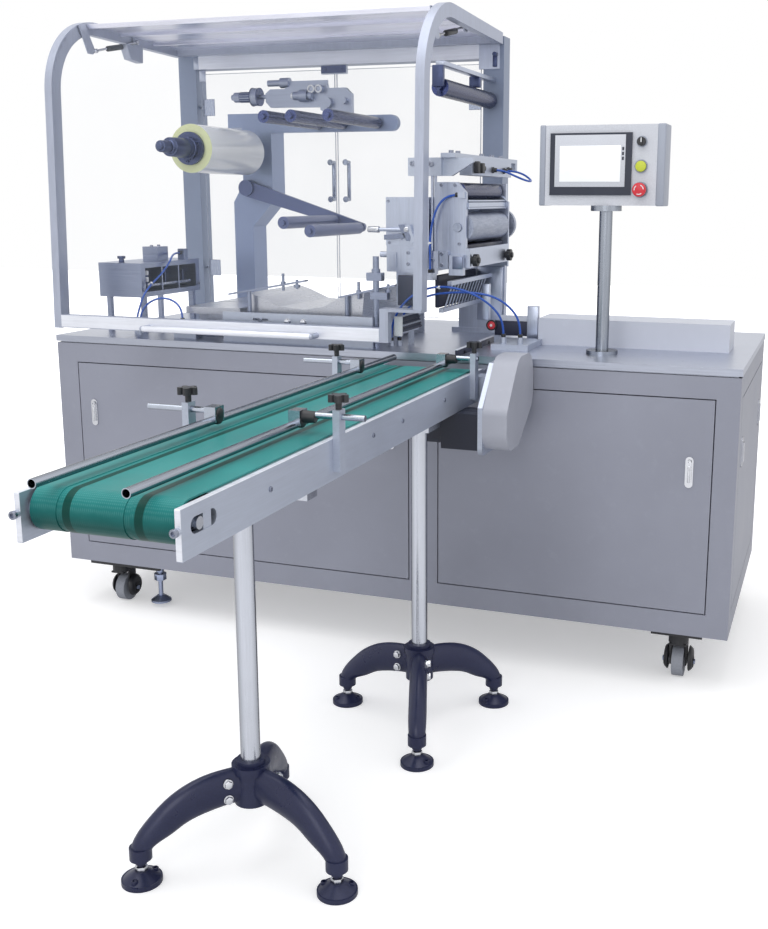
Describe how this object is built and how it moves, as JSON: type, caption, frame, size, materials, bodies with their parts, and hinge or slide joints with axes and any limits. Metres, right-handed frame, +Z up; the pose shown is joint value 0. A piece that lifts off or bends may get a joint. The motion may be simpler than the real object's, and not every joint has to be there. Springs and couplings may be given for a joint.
{
  "type": "overwrapping machine",
  "caption": "Film overwrapping machine: wheeled cabinet with clear guard hood, film reel, feed unit, control panel and an infeed belt conveyor on tripod stands.",
  "frame": {"origin": "middle of the footprint of the whole machine with its conveyor, on the floor", "axes": "X along the cabinet front to the operator right, Y from the conveyor end towards the cabinet back, Z up"},
  "size_m": [2.014, 2.282, 1.7716],
  "materials": {
    "anodised": "clear anodised aluminium",
    "belt_green": "green PVC belt cover",
    "black_plastic": "black moulded plastic",
    "black_rubber": "matt black rubber",
    "bright_steel": "ground bright steel",
    "chrome_trim": "polished chrome",
    "clear_sheet": "clear acrylic sheet",
    "dark_alloy": "dark anodised aluminium",
    "film": "wound clear wrapping film",
    "grey_plastic": "light grey coated housing",
    "hose_blue": "blue polyurethane air hose",
    "navy_casting": "dark navy coated casting",
    "painted_sheet": "satin grey enamel on sheet steel",
    "screen": "dark bezel with screen glass",
    "stainless": "brushed stainless steel"
  },
  "bodies": {
    "machine": {"adjusting_rods": "bright_steel", "bed_rails": "stainless", "cabinet_base": "painted_sheet", "cabinet_shell": "painted_sheet", "caster_mounts": "black_plastic", "caster_wheels": "black_rubber", "clamp_knobs": "black_plastic", "control_box": "grey_plastic", "control_buttons": "black_plastic", "control_post": "bright_steel", "control_screen": "screen", "conveyor_bed": "stainless", "conveyor_belt": "belt_green", "conveyor_rollers": "bright_steel", "conveyor_side_plates": "anodised", "discharge_heater": "stainless", "drive_guard": "stainless", "drive_motor": "black_plastic", "drive_mount": "anodised", "end_access_panels": "painted_sheet", "feed_cross_bars": "bright_steel", "feed_frame": "stainless", "film_chute": "stainless", "film_column": "painted_sheet", "front_access_panels": "painted_sheet", "gear_block": "stainless", "guard_fittings": "anodised", "hose_bed": "hose_blue", "hose_feed": "hose_blue", "hose_heater": "hose_blue", "hose_link_far": "hose_blue", "hose_link_near": "hose_blue", "hose_valve": "hose_blue", "hot_plates": "stainless", "infeed_comb": "stainless", "levelling_feet": "navy_casting", "panel_latches": "chrome_trim", "press_drum": "dark_alloy", "pusher_cover": "painted_sheet", "rail_clamps": "anodised", "rear_frame": "painted_sheet", "stand_poles": "bright_steel", "table_top": "stainless", "tension_unit": "stainless", "top_bar": "anodised", "top_guide_roller": "dark_alloy", "tripod_bases": "navy_casting", "tripod_feet": "navy_casting", "upper_idlers": "dark_alloy", "valve_block": "anodised"},
    "hood": {"hood_frame": "anodised", "hood_sheet": "clear_sheet"},
    "rear_door_left_leaf": {"rear_door_left": "clear_sheet"},
    "rear_door_right_leaf": {"rear_door_right": "clear_sheet"},
    "film_reel": {"film_roll": "film", "reel_chuck": "dark_alloy"},
    "dancer": {"dancer_arm": "dark_alloy"},
    "feed_roll": {"feed_roller": "bright_steel"},
    "left_guide": {"guide_rail_left": "bright_steel"},
    "right_guide": {"guide_rail_right": "bright_steel"}
  },
  "joints": [
    {"name": "hood_hinge", "type": "hinge", "parent": "machine", "child": "hood", "pos_m": [-0.415, 1.068, 1.756], "axis": [-1, 0, 0], "range_deg": [0, 65]},
    {"name": "rear_door_left_hinge", "type": "hinge", "parent": "machine", "child": "rear_door_left_leaf", "pos_m": [-0.927, 1.098, 1.268], "axis": [0, 0, 1], "range_deg": [0, 90]},
    {"name": "rear_door_right_hinge", "type": "hinge", "parent": "machine", "child": "rear_door_right_leaf", "pos_m": [0.097, 1.098, 1.268], "axis": [0, 0, -1], "range_deg": [0, 90]},
    {"name": "film_reel_spin", "type": "hinge", "parent": "machine", "child": "film_reel", "pos_m": [-0.635, 0.739, 1.397], "axis": [0, 1, 0], "continuous": true},
    {"name": "dancer_pivot", "type": "hinge", "parent": "machine", "child": "dancer", "pos_m": [-0.664, 0.919, 1.286], "axis": [0, 1, 0], "range_deg": [-18, 18], "stiffness_Nm_per_rad": 12},
    {"name": "feed_roller_spin", "type": "hinge", "parent": "machine", "child": "feed_roll", "pos_m": [0.222, 0.659, 1.178], "axis": [0, 1, 0], "continuous": true},
    {"name": "left_guide_slide", "type": "slide", "parent": "machine", "child": "left_guide", "axis": [1, 0, 0], "range_m": [-0.03, 0.04]},
    {"name": "right_guide_slide", "type": "slide", "parent": "machine", "child": "right_guide", "axis": [1, 0, 0], "range_m": [-0.04, 0.03]}
  ]
}
